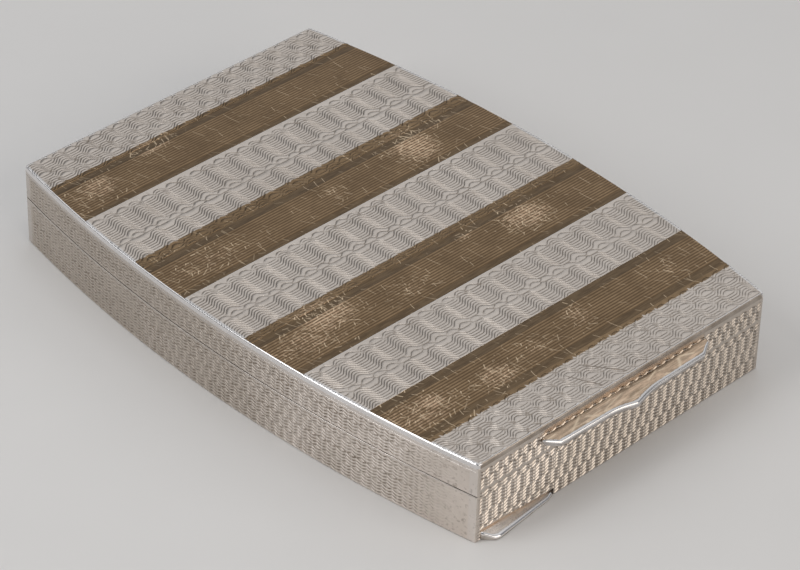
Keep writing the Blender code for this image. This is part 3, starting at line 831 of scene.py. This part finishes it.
def lid_top_rings():
    """Rings of points round the lid's top sheet, one ring for each step from front end to rear.

    A ring runs over the turned face from side to side and back underneath.  On the face, every turned
    line has a point at its bottom and at both lips; sorted along the box, these give the steps.
    """
    share = np.linspace(-1, 1, TOP_COLUMNS)
    face_end = HALF_LENGTH - TOP_BEVEL
    steps, all_lines = [], []
    for start, end, rows in TOP_BANDS:
        inside = np.clip(line_places(rows, TOP_PITCH), -face_end, face_end)
        lines, spread = broad_waves(share * (side_reach(inside)[:, None] - TOP_BEVEL), rows)
        start, end = max(start, -face_end), min(end, face_end)
        steps.append(np.clip(np.concatenate([lines - spread, lines, lines + spread]), start, end))
        all_lines.append((start, end, lines, spread))
    places, depths, valleys, channels = stripe_profile()
    burnished = np.array([start - BURNISHED_EDGE for start, end, near, far in TOP_STRIPES])
    steps.append(np.repeat(np.concatenate([places, burnished])[:, None], TOP_COLUMNS, axis=1))
    edge = TOP_BEVEL * (1 - np.sin(np.radians(BEVEL_ANGLES[::-1])))
    for end in (-1, 1):
        steps.append(np.repeat(end * (HALF_LENGTH - edge)[:, None], TOP_COLUMNS, axis=1))
    along = np.sort(np.concatenate(steps), axis=0)

    cut, rim = np.zeros_like(along), np.zeros_like(along)
    for start, end, lines, spread in all_lines:
        here = (along >= start) & (along <= end)
        cut = np.where(here, cut_share(along, lines, spread, 1.0), cut)
    striped = np.zeros(along.shape, bool)
    for start, end, near_channel, far_channel in TOP_STRIPES:
        striped |= (along > start + SHOULDER / 2) & (along < end - SHOULDER / 2)
        rim[(along >= start - BURNISHED_EDGE / 2) & (along <= start)] = 1.0
    depth = np.where(striped, np.interp(along, places, depths), TOP_CUT_DEPTH * cut)
    reed, channel = (striped * np.interp(along, places, shares) for shares in (valleys, channels))
    cut, gilt = np.where(striped, 0.0, cut), striped.astype(float)
    across = share * side_reach(along)
    ripples = [STRAY_RIPPLE * np.sin(across * wave) for wave in STRAY_WAVES]
    for edge_place, stray in GILT_STRAY:
        beyond = (along - edge_place) * np.sign(stray)
        ragged = abs(stray) + ripples[0] + ripples[1]
        cover = np.clip((ragged - beyond) / STRAY_SOFTNESS + 0.5, 0, 1)
        strayed = (beyond >= 0) & (beyond < STRAY_LIMIT)
        gilt = np.where(strayed, np.maximum(gilt, cover), gilt)
        channel = np.where(strayed, np.maximum(channel, STRAY_SMOOTHNESS * cover), channel)

    reach, to_end = top_edge(share, along)
    across = share * (reach - TOP_BEVEL)
    fade = np.clip((to_end - TOP_BEVEL) / FACE_FADE, 0, 1)
    # Painted highlight along the top of the front and rear bevels, with painted shade on them below it.
    on_highlight_line = np.abs(to_end - TOP_BEVEL) < BEVEL_HIGHLIGHT_WIDTH * TOP_BEVEL
    rim = np.where(on_highlight_line, BEVEL_HIGHLIGHT_BRIGHTNESS, rim)
    rim[:, [0, -1]] = 1.0
    edge_shade = np.clip(BEVEL_SHADE - BEVEL_SHADE_FALL * to_end / TOP_BEVEL, 0, 1)
    cut = np.maximum(cut * fade, edge_shade)
    face = np.stack([across, along, TOP_FACE - bevel_drop(to_end) - depth * fade], -1)

    def down_side(column, side):
        """The quarter round down one side and the corner under it, one row after another."""
        y, outline = along[:, column], reach[:, column]
        points = []
        for angle in BEVEL_ANGLES:
            inset = TOP_BEVEL * (1 - math.sin(math.radians(angle)))
            drop = np.maximum(bevel_drop(np.full_like(y, inset)), bevel_drop(to_end[:, column]))
            points.append(np.stack([side * (outline - inset), y, TOP_FACE - drop], -1))
        return points + [np.stack([side * outline, y, np.full_like(y, TOP_UNDER)], -1)]

    sides = np.stack(down_side(-1, 1) + down_side(0, -1)[::-1], 1)
    rings = np.concatenate([face, sides], axis=1)
    marks = {"cut": cut, "gilt": gilt, "channel": channel, "reed": reed,
             "wear_and_sheen": rubbed_and_sheen_share(across, along), "rim": rim}
    for label, values in marks.items():
        padded = np.full(rings.shape[:2], float(label == "rim"))
        padded[:, :TOP_COLUMNS] = values
        # The front and rear end faces carry painted shade.
        if label in END_FACE_SHADE_MARKS:
            padded[[0, -1]] = END_FACE_SHADE_MARKS[label]
        marks[label] = padded.T
    return rings.transpose(1, 0, 2), marks


DEEP_SCRATCHES = (((-0.0052, -0.0352, TOP_FACE), (-0.0033, -0.0392, TOP_FACE)),
                  ((-0.0025, -0.0348, TOP_FACE), (0.00075, -0.0392, TOP_FACE)))
DEEP_SCRATCH_WIDTH = 0.00022
DEEP_SCRATCH_COLOUR = (0.20, 0.155, 0.12)
DEEP_SCRATCH_STRENGTH = 0.8


def near_line(tree, place, start, end, width):
    """Nearness of a place to the straight line from start to end: 1 on it and 0 at width from it.

    The line is half as wide at its start.
    """
    whole = Vector(end) - Vector(start)
    away = step_vectors(tree, "SUBTRACT", place, start)[0]
    share = work_out(tree, "DIVIDE", step_vectors(tree, "DOT_PRODUCT", away, whole)[1],
                     whole.dot(whole), clamp=True)
    nearest = step_vectors(tree, "MULTIPLY", whole, share)[0]
    far = step_vectors(tree, "DISTANCE", away, nearest)[1]
    thin = mix_values(tree, share, width / 2, width)
    return work_out(tree, "SUBTRACT", 1.0, work_out(tree, "DIVIDE", far, thin), clamp=True)


TOP_SILVER = (0.70, 0.635, 0.575)
TOP_SILVER_DULL = (0.58, 0.52, 0.465)

top_silver = parcel_gilt_finish("striped_silver", TOP_SILVER, TOP_SILVER_DULL, grime_and_shade_start=0.35,
                                most_grime_and_shade=0.7, turn=1.95)
tree = top_silver.node_tree
base_colour = tree.nodes["Principled BSDF"].inputs["Base Color"]
place = add_node(tree, "TexCoord").outputs["Object"]
colour = base_colour.links[0].from_socket
for start, end in DEEP_SCRATCHES:
    dent = near_line(tree, place, start, end, DEEP_SCRATCH_WIDTH)
    colour = mix_colours(tree, times(tree, dent, DEEP_SCRATCH_STRENGTH), colour, DEEP_SCRATCH_COLOUR)
tree.links.new(colour, base_colour)

lid_top = ring_solid("lid_top_turned", *lid_top_rings(), top_silver, TOP_CREASE,
                     gilt_strip=TOP_COLUMNS + len(BEVEL_ANGLES))
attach(lid_top, "lid")
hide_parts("lid_top")


# ----
# Bottom cover.  A flat sheet turned underneath in rows of broad waves, each row half a wave out of
# step with the last, and washed with gilt inside.  Three thin strips soldered on it make its rim.

PLATE_INSET = 0.0008
PLATE_FRONT = -0.0392
PLATE_REAR = 0.03855
PLATE_THICKNESS = 0.0006
PLATE_BORDER = 0.0004
PLATE_BEVEL = 0.0001
PLATE_COLUMNS = 150
PLATE_ROW_LINES = 5
PLATE_DEPTH = 0.00005


def cover_plate_rings():
    """Rings of points round the cover plate, in steps along it found like those of the lid's top.

    A ring runs over the turned underside from side to side and back along the top.
    """
    share = np.linspace(-1, 1, PLATE_COLUMNS)
    row_height = PLATE_ROW_LINES * TOP_PITCH
    front, rear = PLATE_FRONT + PLATE_BORDER, PLATE_REAR - PLATE_BORDER
    rows = [(front + TOP_PITCH + row * row_height, PLATE_ROW_LINES, (row % 2) * TOP_WAVE / 2)
            for row in range(int((rear - front - TOP_PITCH) / row_height))]
    middles = side_reach(line_places(rows, TOP_PITCH)[:, None], PLATE_INSET)
    lines, spread = broad_waves(share * (middles - PLATE_BORDER), rows)
    steps = np.clip(np.concatenate([lines - spread, lines, lines + spread]), front, rear)
    ends = np.array([PLATE_FRONT, PLATE_FRONT + PLATE_BEVEL, front, rear, PLATE_REAR - PLATE_BEVEL,
                     PLATE_REAR])
    along = np.sort(np.concatenate([steps, np.repeat(ends[:, None], PLATE_COLUMNS, axis=1)]), axis=0)
    to_end = np.minimum(along - PLATE_FRONT, PLATE_REAR - along)
    fade = np.clip((to_end - PLATE_BORDER) / TOP_PITCH, 0, 1)
    cut = cut_share(along, lines, spread, 1.0) * fade
    reach = side_reach(along, PLATE_INSET)
    across = share * (reach - PLATE_BEVEL)
    height = PLATE_DEPTH * cut + np.clip(PLATE_BEVEL - to_end, 0, PLATE_BEVEL)
    face = np.stack([across, along, height], -1)
    y, edge = along[:, [-1, -1, 0, 0]], reach[:, [-1, -1, 0, 0]] * np.array([1, 1, -1, -1])
    z = np.broadcast_to(np.array([PLATE_BEVEL, PLATE_THICKNESS, PLATE_THICKNESS, PLATE_BEVEL]), y.shape)
    rings = np.concatenate([face, np.stack([edge, y, z], -1)], axis=1)
    marks = {"cut": np.concatenate([cut, np.zeros(y.shape)], axis=1).T}
    return rings.transpose(1, 0, 2), marks


plate = ring_solid("bottom_cover_plate_turned", *cover_plate_rings(), top_silver, TOP_CREASE,
                   gilt_strip=PLATE_COLUMNS + 1)
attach(plate, "bottom_cover")
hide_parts("bottom_cover_plate")
refinish(("bottom_cover_rim_left", "bottom_cover_rim_right", "bottom_cover_rim_front"), gilt_wash)


# ----
# Thumb-pieces.  Two small shelves filed from thick sheet and soldered on, one to the lid's front
# wall and one to the bottom cover.  Their tops are gilt and their rounded lips are left white.

LID_THUMB_ROOT = -0.04003
LID_THUMB_TOP = 0.0098
LID_THUMB_SHEET = 0.0007
LID_THUMB_FALL = 0.5
LID_THUMB_OUTLINE = ((0.0, 0.00215), (0.0008, 0.00200), (0.0016, 0.00183), (0.0024, 0.00170),
                     (0.0032, 0.00160), (0.0040, 0.00155), (0.0122, 0.00144), (0.0140, 0.00040))
COVER_THUMB_ROOT = -0.03924
COVER_THUMB_START = -0.0233
COVER_THUMB_END = -0.0115
COVER_THUMB_OUTLINE = ((COVER_THUMB_START, 0.00078), (-0.02212, 0.001975), (-0.02141, 0.00211),
                       (-0.01268, 0.001192), (COVER_THUMB_END, 0.00078))
COVER_THUMB_HEIGHTS = (0.00130, 0.00075)
COVER_THUMB_FALL = 0.38
THUMB_ROUND = 0.00036
LOWER_ROUND = 0.00008
THUMB_STEPS = 260
THUMB_CREASE = 40
THUMB_SMOOTHING = 0.00022
THUMB_STREAK = 0.22
THUMB_TOP_SHARES = (0, 0.14, 0.45, 0.9)
THUMB_LIP_STEPS = 7
THUMB_LOWER_STEPS = 5
THUMB_LIP_REACH = 0.4
THUMB_END_SHRINK = 0.6
# Painted shade in the crevice at the thumb-piece's root, and under it.
THUMB_ROOT_SHADE = ((1.0,), (0.8,))
THUMB_UNDER_SHADE = 0.85
# Share of paler gold on the thumb-pieces' tops: rubbing, and painted sheen.
THUMB_RUBBING_AND_SHEEN = 0.6
# Paler silver for the cover's thumb-piece: rubbed, and lightened with painted sheen.
RUBBED_AND_SHEEN_SILVER = (0.96, 0.92, 0.88)


def shelf(name, body, root, outline, top_at, fall, under_fall, thick_at, finish):
    """A thumb-piece: a filed section carried along the wall, its reach following the outline.

    The section runs from the root out along the sloping top, round the lip, down and back underneath;
    it shrinks in a quarter round at both ends.  The outline is softened by a running mean.
    """
    xs, reaches = zip(*outline)
    start, end = xs[0], xs[-1]
    along = np.linspace(start, end, THUMB_STEPS)
    spans = np.linspace(-0.5, 0.5, 5) * THUMB_SMOOTHING
    reach = np.mean([np.interp(np.clip(along + span, start, end), xs, reaches) for span in spans],
                    axis=0)
    near = np.clip(1 - np.minimum(along - start, end - along) / THUMB_ROUND, 0, 1)
    shrink = THUMB_END_SHRINK * THUMB_ROUND * (1 - np.sqrt(1 - near ** 2))
    top, thick = top_at(along) - shrink, thick_at(along) - 2 * shrink
    reach = reach - shrink
    radius = np.minimum(THUMB_ROUND, THUMB_LIP_REACH * reach)
    level = reach - radius
    sections = [(share * level, top - fall * share * level) for share in THUMB_TOP_SHARES]

    def round_off(out, middle, radius, angles):
        """An arc of the section: its middle plus the radius times the cosine and sine of each angle."""
        for angle in angles:
            sections.append((out + radius * math.cos(angle), middle + radius * math.sin(angle)))

    round_off(level, top - fall * level - radius * math.hypot(1, fall), radius,
              np.linspace(math.atan2(1, fall), 0, THUMB_LIP_STEPS))
    out, under = reach - LOWER_ROUND, top - thick
    round_off(out, under - under_fall * out + LOWER_ROUND * math.hypot(1, under_fall), LOWER_ROUND,
              np.linspace(0, math.atan2(1, under_fall) - math.pi, THUMB_LOWER_STEPS))
    sections.append((np.zeros_like(reach), under))
    out, height = (np.array(part) for part in zip(*sections))
    rings = np.stack([np.broadcast_to(along, out.shape), root - out, height], -1)
    marks = {label: np.zeros(out.shape) for label in ("gilt", "cut", "wear_and_sheen", "rim")}
    lip = len(THUMB_TOP_SHARES)
    marks["gilt"][:lip] = 1.0
    marks["rim"][lip:lip + 5] = 1.0
    # Painted shade at the root and underneath.
    marks["cut"][:2] = THUMB_ROOT_SHADE
    marks["cut"][lip + 6:] = THUMB_UNDER_SHADE
    # Paler gold on the top: rubbing and painted sheen.
    marks["wear_and_sheen"][:lip] = THUMB_RUBBING_AND_SHEEN
    piece = ring_solid(name, rings, marks, finish, THUMB_CREASE)
    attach(piece, body)
    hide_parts(name.replace("_filed", ""))


thumb_silver = parcel_gilt_finish("thumb_silver", POLISHED_SILVER, POLISHED_SILVER_DULL,
                                  grime_and_shade_start=0.5, most_grime_and_shade=0.8, stretch=THUMB_STREAK,
                                  thickness=0.85)
# The cover's thumb-piece: paler silver with less gilt showing, lightened with painted sheen.
rubbed_and_sheen_thumb_silver = parcel_gilt_finish("rubbed_and_sheen_thumb_silver", RUBBED_AND_SHEEN_SILVER, POLISHED_SILVER,
                                         grime_and_shade_start=0.5, most_grime_and_shade=0.8, stretch=THUMB_STREAK,
                                         thickness=0.35)
shelf("lid_thumb_piece_filed", "lid", LID_THUMB_ROOT,
      tuple((-x, reach) for x, reach in reversed(LID_THUMB_OUTLINE)) + LID_THUMB_OUTLINE[1:],
      constant(LID_THUMB_TOP), LID_THUMB_FALL, LID_THUMB_FALL, constant(LID_THUMB_SHEET), thumb_silver)


def cover_thumb_top(across):
    """Height of the cover's thumb-piece, falling evenly from its left end to its right."""
    return np.interp(across, (COVER_THUMB_START, COVER_THUMB_END), COVER_THUMB_HEIGHTS)


shelf("bottom_cover_thumb_piece_filed", "bottom_cover", COVER_THUMB_ROOT, COVER_THUMB_OUTLINE,
      cover_thumb_top, COVER_THUMB_FALL, 0.0, cover_thumb_top, rubbed_and_sheen_thumb_silver)


# ----
# Studio.  A plain pale floor, soft boxes of light, and the camera where the photograph was taken.

FLOOR_SPAN = 1.2
FLOOR_STEPS = 13
FLOOR_DROP = 0.00003
FLOOR_ROUGHNESS = 0.8
FLOOR_COLOUR = (0.72, 0.71, 0.70)
FLOOR_MOTTLED = tuple(0.96 * part for part in FLOOR_COLOUR)
SURROUND = (0.215, 0.22, 0.23)
CAMERA_PLACE = (-0.24364, -0.24655, 0.25737)
CAMERA_AZIMUTH = math.radians(-44.96)
CAMERA_ELEVATION = math.radians(36.30)
CAMERA_ROLL = math.radians(1.59)
CAMERA_LENS = 156.6
SENSOR_WIDTH = 36.0

lens = bpy.data.cameras.new("camera")
lens.lens = CAMERA_LENS
lens.sensor_width = SENSOR_WIDTH
lens.sensor_fit = "HORIZONTAL"
camera = bpy.data.objects.new("camera", lens)
camera.matrix_world = (Matrix.Translation(CAMERA_PLACE) @ Matrix.Rotation(CAMERA_AZIMUTH, 4, "Z")
                       @ Matrix.Rotation(math.pi / 2 - CAMERA_ELEVATION, 4, "X")
                       @ Matrix.Rotation(CAMERA_ROLL, 4, "Z"))
bpy.context.scene.collection.objects.link(camera)
bpy.context.scene.camera = camera

steps = np.linspace(-FLOOR_SPAN / 2, FLOOR_SPAN / 2, FLOOR_STEPS)
x, y = np.meshgrid(steps, steps)
points = np.stack([x, y, np.full_like(x, -FLOOR_DROP)], -1).reshape(-1, 3)
index = np.arange(len(points)).reshape(x.shape)
quads = np.stack([index[:-1, :-1], index[:-1, 1:], index[1:, 1:], index[1:, :-1]], -1)
mesh = bpy.data.meshes.new("floor")
mesh.from_pydata(points.tolist(), [], quads.reshape(-1, 4).tolist())
pale_floor = bpy.data.materials.new("pale_floor")
pale_floor.use_nodes = True
tree = pale_floor.node_tree
shader = tree.nodes["Principled BSDF"].inputs
shader["Roughness"].default_value = FLOOR_ROUGHNESS
mottle = noise(tree, add_node(tree, "TexCoord").outputs["Object"], scale=60.0, detail=6.0)
tree.links.new(mix_colours(tree, mottle, FLOOR_COLOUR, FLOOR_MOTTLED), shader["Base Color"])
mesh.materials.append(pale_floor)
floor = bpy.data.objects.new("floor", mesh)
bpy.context.scene.collection.objects.link(floor)

world = bpy.data.worlds.new("surround")
world.use_nodes = True
world.node_tree.nodes["Background"].inputs["Color"].default_value = (*SURROUND, 1)
bpy.context.scene.world = world


def add_soft_box(name, direction, distance, width, height, radiance, colour=(1, 1, 1)):
    """A rectangular soft light facing the box; its power follows from its area and brightness."""
    light = bpy.data.lights.new(name, "AREA")
    light.shape = "RECTANGLE"
    light.size, light.size_y = width, height
    light.energy = radiance * math.pi * width * height
    light.color = colour
    lamp = bpy.data.objects.new(name, light)
    towards = Vector(direction).normalized()
    lamp.location = towards * distance
    lamp.rotation_mode = "QUATERNION"
    lamp.rotation_quaternion = towards.to_track_quat("Z", "Y")
    bpy.context.scene.collection.objects.link(lamp)


add_soft_box("back_right_box", (0.672, 0.218, 0.707), 0.70, 1.00, 0.50, 0.485)
add_soft_box("top_box", (-0.05, 0.0, 1.0), 0.70, 0.50, 0.60, 1.12)
add_soft_box("left_box", (-0.71, 0.30, 0.63), 0.55, 0.23, 0.34, 3.6)
add_soft_box("left_rear_box", (-0.50, 0.71, 0.49), 0.60, 0.24, 0.30, 0.9)
add_soft_box("left_low_box", (-0.96, 0.0, 0.17), 0.60, 0.55, 0.18, 0.75)
add_soft_box("front_box", (0.09, -0.90, 0.42), 0.60, 0.66, 0.46, 1.54, (1.0, 0.93, 0.85))
bpy.context.scene.view_settings.view_transform = "Standard"
